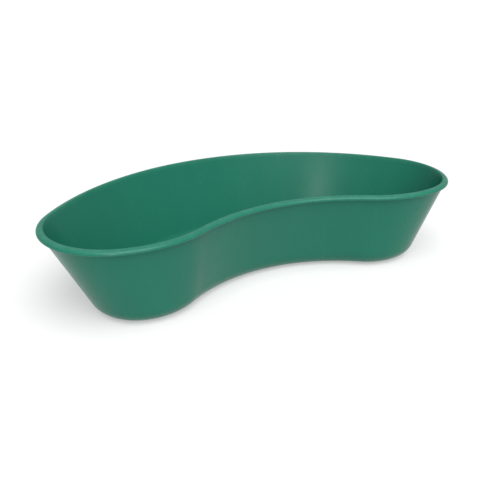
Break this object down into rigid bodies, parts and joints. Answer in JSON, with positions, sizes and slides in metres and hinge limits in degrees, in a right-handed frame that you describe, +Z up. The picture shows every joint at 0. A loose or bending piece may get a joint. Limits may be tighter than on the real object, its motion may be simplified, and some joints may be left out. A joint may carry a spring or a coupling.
{
  "type": "kidney dish",
  "caption": "Shallow kidney-shaped dish with tapered walls, a flat base and an out-turned rim, for holding swabs, instruments or fluids.",
  "frame": {"origin": "centre of the rim's length and width, at the height of the foot the dish stands on", "axes": "+X along the dish, +Y towards its bulging back with the hollow waist at -Y, +Z up out of the mouth"},
  "size_m": [0.25, 0.1229, 0.0483],
  "materials": {
    "moulded_plastic": "satin moulded green polypropylene"
  },
  "bodies": {
    "root": {"dish": "moulded_plastic"}
  },
  "joints": []
}
